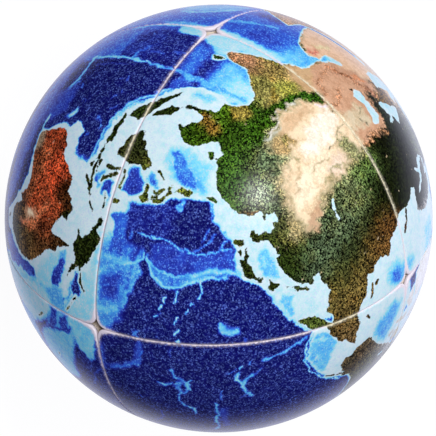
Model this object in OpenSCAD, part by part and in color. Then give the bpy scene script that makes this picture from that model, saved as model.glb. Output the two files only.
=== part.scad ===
// Foam stress ball with a printed globe cover of eight panels.
// Each panel is one eighth of the ball: a thin printed skin bonded to a soft foam
// backing, and the backings are glued to a round foam core. The panels meet along
// three great circles, and where four corners meet a small star-shaped pit is left.
// The origin is the ball's centre. +Z points through the north pole of the globe,
// +X and +Y through the two pits on the equator at 75 and 165 degrees east.

/* [Ball] */
// Diameter over the printed skin
ball_d = 63; // [40:1:100]
// Thickness of the printed leatherette skin
skin_t = 0.6; // [0.3:0.1:1.2]
// Thickness of the foam layer behind each skin
backing_t = 1.6; // [0.8:0.1:3]

/* [Seams] */
// Width of the gap between neighbouring panels
seam_gap = 0.2; // [0.1:0.05:0.5]
// Radius of the panels' rounded corners
corner_r = 1.3; // [0.6:0.1:2.5]
// Thickness of the adhesive between the core and the backings
glue_t = 0.05; // [0.02:0.01:0.2]

/* [Colours] */
// Skins at the north pole, and skins at the south pole
north_tone = "royalblue"; // ["royalblue", "steelblue", "seagreen"]
south_tone = "midnightblue"; // ["midnightblue", "navy", "darkslateblue"]
// Foam behind the skins
backing_tone = "linen"; // ["linen", "ivory", "wheat"]
// Foam core
core_tone = "tan"; // ["tan", "burlywood", "wheat"]

/* [Hidden] */
$fn = 96;
ball_r = ball_d / 2;
backing_r = ball_r - skin_t;
bed_r = backing_r - backing_t;
core_r = bed_r - glue_t;
half_gap = seam_gap / 2;

// What is cut from one corner of an eighth: a square post less the round of the corner.
module corner_post() {
    reach = half_gap + corner_r;
    linear_extrude(height = ball_d)
        difference() {
            translate([-half_gap, -half_gap]) square(reach + half_gap);
            translate([reach, reach]) circle(r = corner_r);
        }
}

// The round shell between two radii.
module shell(outer_r, inner_r) {
    difference() {
        sphere(r = outer_r);
        sphere(r = inner_r);
    }
}

// The eighth of a shell between +X, +Y and +Z, inset from its seams, with round corners.
module eighth(outer_r, inner_r) {
    difference() {
        intersection() {
            shell(outer_r, inner_r);
            translate([half_gap, half_gap, half_gap]) cube(ball_d);
        }
        corner_post();
        rotate([90, 0, 90]) corner_post();
        rotate([-90, -90, 0]) corner_post();
    }
}

// quarter counts eastwards from 75 to 165 degrees east, and the south half is the
// north half turned over about the X axis.
module place(north, quarter) {
    if (north) rotate([0, 0, 90 * quarter]) children();
    else rotate([0, 0, 90 * quarter + 90]) rotate([180, 0, 0]) children();
}

module skin(north, quarter) {
    color(north ? north_tone : south_tone)
        place(north, quarter) eighth(ball_r, backing_r);
}

module backing(north, quarter) {
    color(backing_tone) place(north, quarter) eighth(backing_r, bed_r);
}

module foam_core() {
    color(core_tone) sphere(r = core_r);
}

skin(true, 0);  // skin_north_asia
skin(true, 1);  // skin_north_pacific
skin(true, 2);  // skin_north_america
skin(true, 3);  // skin_north_africa
skin(false, 0);  // skin_south_asia
skin(false, 1);  // skin_south_pacific
skin(false, 2);  // skin_south_america
skin(false, 3);  // skin_south_africa
backing(true, 0);  // backing_north_asia
backing(true, 1);  // backing_north_pacific
backing(true, 2);  // backing_north_america
backing(true, 3);  // backing_north_africa
backing(false, 0);  // backing_south_asia
backing(false, 1);  // backing_south_pacific
backing(false, 2);  // backing_south_america
backing(false, 3);  // backing_south_africa
foam_core();
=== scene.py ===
import bmesh
import bpy
import numpy as np
from mathutils import Matrix, Vector


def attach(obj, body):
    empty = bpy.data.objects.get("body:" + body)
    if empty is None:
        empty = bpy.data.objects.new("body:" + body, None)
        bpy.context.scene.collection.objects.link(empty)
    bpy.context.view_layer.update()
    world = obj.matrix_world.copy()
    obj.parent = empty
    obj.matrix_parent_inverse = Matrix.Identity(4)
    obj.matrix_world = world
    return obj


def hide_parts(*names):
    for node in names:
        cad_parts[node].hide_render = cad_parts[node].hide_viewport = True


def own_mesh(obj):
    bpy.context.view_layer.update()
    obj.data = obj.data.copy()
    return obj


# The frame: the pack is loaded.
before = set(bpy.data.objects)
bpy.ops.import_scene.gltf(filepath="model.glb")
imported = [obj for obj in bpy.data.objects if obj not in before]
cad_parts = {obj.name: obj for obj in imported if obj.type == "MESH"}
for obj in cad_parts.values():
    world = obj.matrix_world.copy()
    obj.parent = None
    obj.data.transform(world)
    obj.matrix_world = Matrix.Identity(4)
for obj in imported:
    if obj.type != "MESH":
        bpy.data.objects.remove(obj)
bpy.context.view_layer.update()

# The printed skins: eight thin panels of leatherette, each an eighth of the ball, printed
# with a globe, cut with rounded corners and bonded edge to edge on foam panels of the same
# outline. Where four corners meet they leave a small star-shaped pit.
BALL = 0.0315  # metres, to the outside of the skins
SKIN = 0.0309  # their underside, which is the outside of the foam panels
HALF_GAP = 0.00005  # half the slit between two skins, drawn closer than in the CAD model
CORNER = 0.0016  # radius of a skin's corners
EDGE = 0.00024  # rounding along a skin's edge
EDGE_STEPS = 5  # rings of points that the rounded edge is drawn with
UNDERSIDE = 99  # ring number of the points on the underside


# A panel is drawn on a triangle grid whose three coordinates say how near a point is to
# each corner. Rings round the edge, numbered outwards from 1, carry it over and down.
def grid(count):
    bm = bmesh.new()
    ring = bm.verts.layers.int.new("ring")
    corners = [bm.verts.new(tip) for tip in ((1, 0, 0), (0, 1, 0), (0, 0, 1))]
    bm.faces.new(corners)
    bmesh.ops.subdivide_edges(bm, edges=bm.edges[:], cuts=count - 1, use_grid_fill=True)
    return bm, ring


def place(weights, radius, inset, corner):
    """Points on a sphere for grid weights: kept off the three edge planes, corners rounded."""
    spread = np.sin(weights * np.pi / 2)
    out = spread / np.linalg.norm(spread, axis=1, keepdims=True)
    out = inset + out * (radius - inset)
    for a, b in ((0, 1), (1, 2), (2, 0)):
        u, v = corner - (out[:, a] - inset), corner - (out[:, b] - inset)
        near = (u > 0) & (v > 0)
        pull = np.ones(len(out))
        pull[near] = np.maximum(u, v)[near] / np.hypot(u, v)[near]
        out[:, a] = np.where(near, inset + corner - u * pull, out[:, a])
        out[:, b] = np.where(near, inset + corner - v * pull, out[:, b])
    return out * (radius / np.linalg.norm(out, axis=1, keepdims=True))


def panel(name, count, outer, inner, edge):
    """A closed mesh of the eighth between +X, +Y and +Z, and the ring number of each point."""
    bm, ring = grid(count)
    under = bmesh.ops.duplicate(bm, geom=bm.verts[:] + bm.edges[:] + bm.faces[:])["geom"]
    faces = [item for item in under if isinstance(item, bmesh.types.BMFace)]
    bmesh.ops.reverse_faces(bm, faces=faces)
    for item in under:
        if isinstance(item, bmesh.types.BMVert):
            item[ring] = UNDERSIDE
    turns = np.linspace(0, np.pi / 2, EDGE_STEPS)
    loop = [e for e in bm.edges if e.is_boundary and e.verts[0][ring] == 0]
    for number in range(1, EDGE_STEPS + 1):
        grown = bmesh.ops.extrude_edge_only(bm, edges=loop)["geom"]
        loop = [item for item in grown if isinstance(item, bmesh.types.BMEdge)]
        for item in grown:
            if isinstance(item, bmesh.types.BMVert):
                item[ring] = number
    rings = np.array([v[ring] for v in bm.verts])
    weights = np.array([v.co for v in bm.verts])
    spots = np.zeros((len(rings), 3))
    for number in set(rings):
        own = rings == number
        if number < EDGE_STEPS:
            back = edge * (1 - np.sin(turns[number]))
            drop = edge * (1 - np.cos(turns[number]))
            spots[own] = place(weights[own], outer - drop, HALF_GAP + back, CORNER - back)
        else:
            spots[own] = place(weights[own], inner, HALF_GAP, CORNER)
    for vertex, spot in zip(bm.verts, spots):
        vertex.co = spot
    last = [v for v in bm.verts if v[ring] >= EDGE_STEPS]
    bmesh.ops.remove_doubles(bm, verts=last, dist=1e-7)
    bmesh.ops.recalc_face_normals(bm, faces=bm.faces[:])
    mesh = bpy.data.meshes.new(name)
    bm.to_mesh(mesh)
    bm.free()
    mesh.shade_smooth()
    rings = np.zeros(len(mesh.vertices), int)
    mesh.attributes["ring"].data.foreach_get("value", rings)
    return mesh, rings


PIT_REACH = 0.0036  # how far from a pit's middle the skin is rubbed bare


def spots_of(mesh):
    flat = np.empty(len(mesh.vertices) * 3, np.float32)
    mesh.vertices.foreach_get("co", flat)
    return flat.reshape(-1, 3).astype(float)


def rim_of(mesh, rings):
    """Millimetres in from where the skin's edge starts to turn over; below zero on the turn."""
    points = spots_of(mesh)
    inset, corner = HALF_GAP + EDGE, CORNER - EDGE
    low = np.sort(points, axis=1) - inset
    away = low[:, 0].copy()
    u, v = corner - low[:, 0], corner - low[:, 1]
    near = (u > 0) & (v > 0)
    away[near] = corner - np.hypot(u, v)[near]
    turned = np.minimum(rings[rings > 0], EDGE_STEPS - 1) / (EDGE_STEPS - 1)
    away[rings > 0] = -EDGE * turned * np.pi / 2
    near_pit = np.clip(1.3 - np.hypot(low[:, 0], low[:, 1]) / PIT_REACH, 0, 1)
    return away * 1000 - 0.5 * near_pit ** 2


# The globe printed on the skins. Each outline or line is a flat list of places, degrees east
# and north as they are printed. The print sits a little east and north of where the seams
# would have it, so places taken from an atlas are moved by as much.
def atlas(places, east=2.5, north=1.0):
    return [value + (north if spot % 2 else east) for spot, value in enumerate(places)]


LAND = [
    # Asia, Africa and Europe, from Bering Strait round by the south and west
    [192.9, 67.9, 187, 66.8, 182, 65.7, 181.4, 64.6, 179.3, 63.9, 175, 62.9, 170.7, 61.8, 167, 61, 165.7,
        60.7, 164.2, 59, 164.3, 57.3, 163.3, 56, 162.3, 55.5, 160.7, 54.7, 159.7, 53.7, 158.2, 52.7,
        157.3, 54.3, 156.9, 56, 157, 57.3, 158, 58.3, 159.3, 59, 161, 60, 163.3, 61.5, 164.7, 62.6,
        160.3, 62.7, 158.3, 62, 157, 61.2, 155.3, 60.5, 151.7, 60.8, 147.7, 60.5, 144.3, 60.7, 143, 60,
        141.7, 59.3, 140.3, 58.3, 139, 57.5, 137.7, 57, 135.8, 56.3, 137, 55.8, 138.3, 55, 139.7, 55.3,
        140.7, 55.3, 141.7, 54.7, 141.3, 53.3, 141.2, 51.7, 140.8, 50.3, 139.7, 49, 138.3, 47.3, 136.7,
        45.8, 135, 44.7, 133.7, 44.2, 132.7, 44.7, 131.7, 44, 130.5, 43.3, 130.2, 42.3, 129.3, 41.7,
        128.3, 41.2, 129, 40.3, 129.7, 39.3, 130.2, 38.2, 130.2, 37.2, 129.3, 36.3, 128, 36, 127.2, 36.2,
        127, 36.8, 127.8, 37.3, 127.5, 38, 127.2, 38.8, 126.2, 39.3, 126, 40, 126.3, 40.7, 125.3, 41,
        124.3, 41.2, 123.3, 41, 122.5, 40.5, 121.7, 41.8, 120.7, 41.3, 120, 40.7, 119, 40.2, 120, 39.5,
        121, 38.5, 123, 38.5, 122.2, 37.7, 121, 37.3, 120.5, 36.5, 121.5, 36.2, 122.8, 35.5, 123.2, 34.3,
        123.7, 32.7, 123.6, 31.5, 123, 30.3, 122.2, 29, 121, 27, 119.8, 25.4, 117.8, 24.2, 116.2, 23.5,
        114.8, 23.1, 113.1, 22.7, 112.3, 22.2, 112.1, 21.4, 111.6, 21.6, 111.4, 22.4, 110.1, 22.9, 109.2,
        22.1, 108.1, 21.1, 107.4, 20.2, 108.1, 19.2, 108.7, 18.4, 109.8, 17.4, 110.6, 16.3, 111.2, 14.9,
        111.2, 13.5, 110.9, 12.4, 109.8, 11.6, 108.7, 10.4, 107.1, 9.2, 107.1, 10, 107.4, 10.7, 106.4,
        11.4, 105.3, 12.4, 104.9, 13.4, 103.9, 13.8, 103.1, 14.2, 102.4, 14.1, 102.3, 13.2, 102, 12.1,
        101.9, 10.9, 102.3, 9.6, 102.7, 8.2, 103.4, 7.4, 104.5, 7, 105.5, 6.1, 106.2, 5, 106.4, 3.8,
        107.3, 2, 106.4, 2.1, 105.3, 2.9, 104.2, 4.2, 103.2, 5.2, 103.1, 6.6, 102.6, 7.7, 101.7, 8.8,
        100.9, 9.3, 101.2, 10.6, 101, 12.1, 100.9, 13.5, 100.3, 14.9, 100.1, 16, 99.4, 16.7, 98.1, 16.6,
        96.7, 17, 96.6, 17.9, 96.3, 19.1, 95.5, 20.3, 94.6, 21.4, 94.1, 22.1, 92.1, 22.4, 90, 22, 88.9,
        20.7, 87.1, 19.1, 85.3, 17.7, 83.7, 16.1, 83.5, 14.1, 83.4, 11.8, 82.8, 10, 81.6, 8.6, 80.3, 9.3,
        79.4, 11.4, 78.5, 13.6, 77.3, 15.9, 76.4, 18.2, 75.7, 20, 75, 21.4, 73.5, 22.7, 72.5, 24.1, 71.6,
        25.5, 70.3, 26.4, 68, 26.5, 64.8, 26.4, 63, 26.6, 61.6, 26.8, 62.3, 25.2, 64.4, 23.6, 63.5, 20.9,
        62.1, 19.1, 60.3, 18.2, 57.5, 17, 54.8, 15.7, 51.2, 14.3, 48, 13.6, 46.5, 13.4, 48.9, 11.4, 55.3,
        11.4, 54.8, 10, 53.9, 8.2, 52.5, 5.5, 51.2, 4, 47, -1, 43, -6, 44.5, -11, 44, -16, 39, -20, 39.5,
        -24, 37, -26, 35, -29.5, 31, -34, 25, -34.8, 23.5, -32, 20.5, -22, 18, -16, 19.5, -9, 18, -5, 15,
        -1, 15.5, 1, 14.5, 4.5, 10, 6.3, 4, 5, -2, 4.5, -7.5, 9, -11.5, 14.7, -11, 21, -7, 28, -3.8, 31,
        0.5, 35.8, -1, 39.5, -1, 44, 7, 44.5, 4, 49.5, 13, 53.5, 17.5, 57.5, 15, 58.3, 13, 60, 12.8,
        63.2, 15, 66.7, 19.3, 69.5, 30, 71.6, 37.9, 71.6, 42.8, 66, 47.4, 66.5, 50.8, 69, 57, 70.4, 71.2,
        71, 78.6, 73.3, 84, 74, 93.2, 74.4, 100, 76.2, 107, 77, 112, 75.4, 114.3, 74.3, 119.3, 73.6,
        124.3, 72.9, 126, 73.8, 130.5, 73.2, 132, 71.4, 135.7, 72.1, 143, 72.6, 147.9, 73.2, 151.4, 72.9,
        155, 71.8, 159.3, 71.1, 163.6, 70.4, 170.7, 70.5, 176.4, 70.7, 180.7, 70, 185.7, 68.9],
    # Sri Lanka, Hainan, Taiwan
    [83.7, 9.5, 85, 8.2, 85.2, 7, 84.1, 6.4, 83.5, 7.5, 83.4, 8.9],
    [110.6, 20.4, 111.4, 21, 112.7, 21, 112.3, 19.9, 111.2, 19.3, 110.6, 19.8],
    [122.7, 26.5, 123.1, 25.9, 122.8, 24.3, 122.4, 23.4, 121.7, 24.5, 122.1, 25.6],
    # Sumatra, Borneo, Java
    [98.3, 6, 99.8, 5.6, 101.2, 4.6, 102.6, 3.5, 103.9, 2.7, 105.3, 1.8, 106.7, 0.9, 108.7, -0.4, 109.8,
        -1.2, 109.2, -2.1, 109, -3.2, 108.8, -4.5, 107.8, -4, 106.7, -3.2, 105.6, -2.3, 104.8, -1.4,
        103.9, -0.4, 103.1, 0.9, 102.1, 1.4, 101.3, 2.5, 100.3, 3.8, 99.5, 4.8, 98.7, 5.3],
    [119.4, 7.5, 120.3, 6.6, 121.4, 6, 120.5, 5.3, 120.3, 3.8, 120.3, 2.4, 121.2, 1.4, 120.3, 0.9, 119.8,
        -0.7, 119.5, -1.8, 119.4, -2.6, 118.1, -2.9, 117, -1.9, 115.6, -1.8, 114.2, -1.6, 113.3, -1.4,
        113.5, -0.4, 112.8, 0.6, 111.7, 0.9, 111.9, 2.1, 112.8, 2.4, 113.8, 2.4, 113.9, 3.4, 115.3, 3.8,
        116.4, 4.9, 117.8, 6, 118.4, 6.8],
    [108.6, -5.5, 109.2, -4.6, 110.9, -5, 112.6, -5.4, 115.1, -5.4, 116.9, -5.6, 116.6, -6.3, 118.4,
        -6.8, 120.2, -7.1, 119.8, -7.6, 117.6, -7.4, 115.1, -7, 112.6, -6.7, 110.6, -6.2],
    # Luzon, Mindanao
    [122.4, 19.6, 123.9, 19.3, 124.1, 18.2, 123.5, 16.8, 123.7, 15.9, 124.5, 14.9, 122.8, 15.7, 122,
        16.8, 122.3, 17.9],
    [126.2, 9.1, 128.1, 9.75, 128.7, 8.2, 127.8, 6.8, 126.7, 7.5, 126, 8.2],
    # Japan: north, main island, the two southern ones; Sakhalin
    [142.7, 46.8, 143.7, 46, 146.2, 45, 144.7, 44.3, 144, 43.7, 143, 44.3, 141.3, 43.5, 140.8, 44, 141.7,
        44.3, 142.5, 45],
    [141, 42.2, 142.5, 42.2, 143, 41.2, 142, 40, 141.8, 38.7, 141.7, 37.3, 140.7, 36.8, 139.7, 36.7,
        138.7, 36.5, 137.7, 35.8, 136.8, 35.2, 136.3, 36.3, 135, 36.2, 133.7, 36, 132.3, 36, 133, 36.7,
        135, 37.2, 136.7, 37.2, 137.3, 38, 138, 38.8, 139.7, 39.2, 140.7, 40, 141.2, 41],
    [130.8, 35, 132, 35.3, 133, 34.7, 132.5, 33.7, 132, 32.8, 131.3, 33.2, 131, 34.2],
    [133.5, 35, 135.3, 35.7, 135.5, 35.2, 134, 34.5],
    [141.7, 53.7, 144.3, 54.7, 144.5, 52.7, 145.2, 51, 144, 51.2, 143.7, 50, 143.8, 48.5, 143.2, 48.2,
        142.9, 49.7, 143, 51.7, 143.3, 53.3],
    # New Guinea, Australia, Tasmania
    [135.2, -1.4, 136, -0.4, 137.4, -0.6, 137.8, -1.6, 138.8, -2, 140, -0.8, 141, -0.2, 143.2, -1.2,
        145.6, -2.2, 148, -3.2, 149, -4.4, 150.8, -5.4, 149.6, -6, 151.2, -7.8, 153.8, -9.6, 152, -9.4,
        150.4, -8.4, 149.2, -7.2, 147.6, -7, 146.4, -8, 144, -8.7, 143.4, -7.8, 140, -7.6, 142, -6.2,
        141.2, -5.2, 140, -3.8, 138.8, -3.2, 137.2, -2.6, 136, -2.2],
    [145.4, -10, 146.2, -11.6, 146.8, -13.6, 148, -14.2, 148.8, -16.4, 149.6, -18.6, 151.6, -19.8, 153.2,
        -22, 154.8, -24, 155.8, -25.4, 156, -28, 155.8, -30.4, 154.8, -32.8, 153.2, -34.8, 152.2, -36.8,
        149.6, -38, 148, -38.4, 145.8, -38.4, 144, -38, 142.4, -37, 141.4, -35.2, 140.4, -33.6, 139.8,
        -33.2, 139.2, -34, 138.4, -35, 137.6, -33.8, 136.4, -32.4, 135.2, -31.6, 133.6, -31.3, 131.2,
        -31.4, 128.8, -32, 126.8, -32.8, 125.2, -33.4, 122.8, -33.6, 120.8, -34.2, 118.8, -34, 117.6,
        -32.8, 117.4, -30, 116.6, -27.6, 116.2, -25.2, 116.2, -23.6, 116.6, -22, 118.4, -20.8, 120.4,
        -19.8, 122.8, -19.6, 124.4, -18.4, 125.2, -17, 126.8, -15.8, 128, -14, 130, -13.2, 132, -14,
        133.2, -12.4, 134.4, -11.6, 135.6, -10.8, 137.6, -11.4, 139.6, -11.8, 139, -13, 138.6, -14, 140,
        -15, 142, -16.6, 143.6, -17.2, 144.2, -15.6, 144.4, -13.2, 144.8, -11.2],
    [146.8, -40.2, 150, -41.2, 148.4, -42.4],
    # New Zealand
    atlas([166.5, -46, 170.7, -46, 174.3, -41.7, 172.7, -40.6, 168.5, -44]),
    atlas([173, -34.5, 175.5, -36.8, 178.5, -37.8, 177, -39.5, 175, -41.5, 173.9, -39.3, 174.8, -38]),
    # North America, from Bering Strait round by the north and east
    [197, 67.5, 198.5, 69.5, 201, 71.8, 205, 72.5, 216, 71.9, 224, 71.3, 233, 71.2, 240, 70.5, 247, 69.8,
        254, 67.8, 262, 69, 268, 68.5, 275, 69.5, 280, 68, 278, 66, 272, 64, 267, 60.5, 268, 58, 275,
        56.5, 280, 53, 283, 52, 283, 56, 284, 59, 284, 62, 290, 62.5, 293, 59.5, 298, 56.5, 303, 53, 305,
        51.5, 300, 50.3, 296, 49.2, 298, 46.5, 303, 46.3, 297.5, 44, 292, 44.8, 289, 42, 286, 40.5,
        284.5, 37, 286.5, 35.5, 281.5, 32, 281, 28, 282, 25.5, 279.5, 26.5, 278.5, 30, 272.5, 30.5, 268,
        29.5, 264.5, 28, 265, 23, 268.5, 18.5, 272, 21.3, 275, 21.5, 274, 16, 279, 15, 279.5, 10, 283.5,
        9.7, 282, 7.5, 279, 8, 276.5, 10.5, 273, 13.5, 268, 14.8, 262, 16.5, 257, 18.5, 254, 21, 250.5,
        26, 246.5, 31.5, 243, 33, 239.5, 36, 237.5, 40, 238, 46, 236.5, 49, 231.5, 54, 227, 58, 222, 60,
        215.7, 61, 211, 59.8, 210.7, 61.1, 205, 61.3, 200.7, 61.8, 198.6, 63.2, 198, 64.3, 200, 65.6],
    # South America, Greenland, the northern islands
    atlas([283, 8.5, 288, 12, 298, 10.5, 309, 4.5, 316, -2.5, 325, -7, 321, -14, 319, -22, 312, -26.5,
        307, -34, 302, -38.5, 295, -42, 294, -48, 291, -52.5, 294, -55, 286, -52, 286, -43, 288.5, -30,
        290, -18.5, 283, -12, 279, -5, 280.5, 0.5, 282.5, 4.5]),
    atlas([287, 77, 300, 81, 328, 82.5, 340, 80, 342, 75, 338, 70, 328, 67, 319, 62.5, 316, 59, 311, 61,
        307, 66, 306, 70, 300, 74.5, 292, 75]),
    atlas([270, 73, 280, 73.5, 290, 70.5, 298, 66.5, 295, 62.5, 288, 64.5, 287, 68, 275, 70]),
    atlas([243, 72.5, 253, 73, 258, 70, 255, 68.7, 245, 69.2, 243, 70.5]),
    atlas([235, 72.5, 240, 74, 244.5, 73.3, 238, 71.3]),
    atlas([270, 77, 265, 80.5, 275, 82, 297, 82, 285, 78.5, 280, 76.3]),
    # Britain, Ireland, Iceland, Madagascar
    atlas([-5.5, 50, 1.5, 51.2, 1.7, 52.8, -0.2, 54, -2, 56, -2, 57.7, -5, 58.6, -6, 56.5, -4.7, 54.7,
        -3, 53.8, -4.5, 53.3, -5.2, 51.8, -3, 51.5], 8),
    atlas([-10, 52, -6.3, 52.2, -6, 54, -7.5, 55.3, -9.8, 54.2, -9.2, 53], 8),
    atlas([-22, 65.5, -22, 64, -19, 63.4, -14, 64.8, -15, 66.3, -20, 66], 8),
    atlas([49.5, -12.5, 50.3, -15.8, 47.5, -24.5, 45, -25.3, 43.8, -22, 44.3, -17], 4),
    # Antarctica, with the pole closed off
    [-15, -71, 0, -70, 20, -69.5, 40, -69, 50, -66.5, 60, -67.5, 70, -69, 80, -67.5, 95, -66, 130, -66,
        145, -67, 160, -70, 168, -72, 165, -78, 200, -78, 210, -76.5, 225, -74.5, 250, -73, 270, -72.5,
        285, -73, 292, -69, 297, -64.5, 302, -63.5, 298, -68, 297, -74, 310, -77.5, 325, -77.5, 335, -75,
        345, -72, 345, -95, -15, -95],
]

# Seas and lakes inside those outlines
WATER = [
    [54.8, 30, 56.6, 29.5, 59.4, 27.7, 62.1, 27.3, 63, 26.4, 61.6, 25.9, 60.3, 25.5, 58.5, 25.2, 56.6,
        26.4, 55.7, 27.7, 54.6, 29.3],
    [38, 29.5, 40, 27, 44, 21, 48, 14, 46, 13.5, 41, 21.5, 37, 28],
    [35.7, 43.2, 37.1, 45.5, 39.8, 48.4, 41.6, 48.2, 42.8, 46.8, 44.4, 46.6, 44.8, 48, 48.5, 48.6, 46.4,
        46.4, 48.9, 45.2, 50.5, 43.2, 48.9, 42.5, 45.3, 42.7, 41.2, 43.6, 38.5, 43.2],
    [44, 37.5, 43.5, 33, 40, 32, 33, 32.5, 28, 34, 19, 34.5, 18, 38, 8, 37.5, 0, 36.2, 0, 37, 8, 40.5,
        12, 44, 17, 45, 21, 41, 24, 40, 22, 43, 20.5, 46, 22, 46, 28, 41, 30, 37.5, 32, 41, 35, 40, 34,
        37.5],
    [55, 45.9, 56.2, 47.3, 58.5, 48.2, 60.3, 48, 61.6, 47.3, 60.3, 45.9, 60, 44.1, 60.3, 41.8, 62.5,
        39.5, 61.2, 38.1, 59.8, 37.5, 58, 38.1, 57.1, 39.5, 57.3, 41.4, 56.6, 43.2, 55.7, 44.5],
    [16.5, 58, 19, 59.2, 20.5, 56.3, 22, 55.4, 25, 56, 28.5, 59.5, 27, 61.5, 27.5, 63, 32, 66.5, 34,
        67.3, 33.5, 65.5, 30, 63, 31, 61.6, 38, 61.2, 37.5, 60.6, 31.8, 60.4, 32, 58, 29.5, 56.5, 27.5,
        55.6, 22, 54.8, 19.5, 55, 18.5, 56.5],
    atlas([273.5, 41.8, 272.5, 44, 274.5, 45.8, 276, 45.5, 275, 42.2]),
    atlas([268, 46.8, 272, 48.8, 276, 47, 272, 46.6]),
    atlas([236, 65.5, 240, 66.7, 242, 66, 238, 65]),
]

# Islands too narrow for an outline: width in degrees, then a line
NARROW = [
    (0.42, [120.8, -7.5, 122, -7.5, 124.2, -7.75, 126.4, -7.5, 128.9, -7.05]),
    (0.3, [122, -6.5, 124.8, -6.8]),
    (0.35, [122.1, -8.4, 123.7, -9.1]),
    (0.4, [126.6, -9.3, 128.6, -7.9, 131, -6.6]),
    (0.2, [131.6, -6.4, 133.4, -5.6, 134.8, -4.6]),
    (0.26, [129.4, -2.4, 130.4, -1.9, 132.6, -1.6, 134, -2.2]),
    (0.26, [126.2, -4.2, 127, -4.6]),
    (0.4, [122.6, 1.1, 123.9, 1.6, 127, 1.1]),
    (0.5, [122.6, -0.7, 122.8, -2.3, 122.8, -4.1]),
    (0.45, [123.9, -0.8, 124.5, -1.8, 125.8, -4.1]),
    (0.4, [130.3, 1.8, 130.6, 0.9]),
    (0.5, [122.6, 14.3, 123.1, 13.8]),
    (0.45, [124.4, 14.6, 125.4, 13.6, 126.6, 13]),
    (0.5, [124.2, 12.5, 124.8, 11.9]),
    (0.4, [125.5, 11.8, 125.6, 10.4]),
    (0.4, [126.4, 11.4, 126.9, 10.4]),
    (0.45, [127.1, 12.6, 127.6, 11.4]),
    (0.24, [121.6, 11.7, 119.8, 9.5]),
    (0.5, [124.5, 8.2, 126.1, 8.4]),
    (0.3, [151.4, -5, 153.6, -5.1, 155.6, -3.6]),
    (0.22, [158, -6.2, 160.3, -7.6, 163.6, -9.6]),
    (0.28, [170.4, -20.4, 172.7, -22.3]),
    (0.3, [184, -17.2, 184.8, -17.5]),
    (0.3, [210.7, 61, 205.5, 59, 200, 57.1]),
    (0.5, [59.7, 71.5, 62, 74.3, 68, 76.5]),
    (0.4, [137, 76, 141, 75.6]),
    (0.4, [141, 74.4, 152, 75, 154.5, 74.8]),
    (0.4, [173, 73.3, 176.5, 73.8]),
    (0.6, [250, 25.5, 252.5, 24]),
    (0.6, [246.3, 31, 249.5, 27, 252.5, 24]),
    (0.45, atlas([275.5, 22.3, 280, 22.6, 285, 20.3])),
    (0.7, atlas([286.5, 19, 291, 18.7])),
    (0.7, atlas([245, 76, 265, 75])),
]

LAKES = [(0.34, [104.7, 52.8, 106.9, 53.8, 109.1, 55.3, 110.3, 56.6])]

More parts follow.
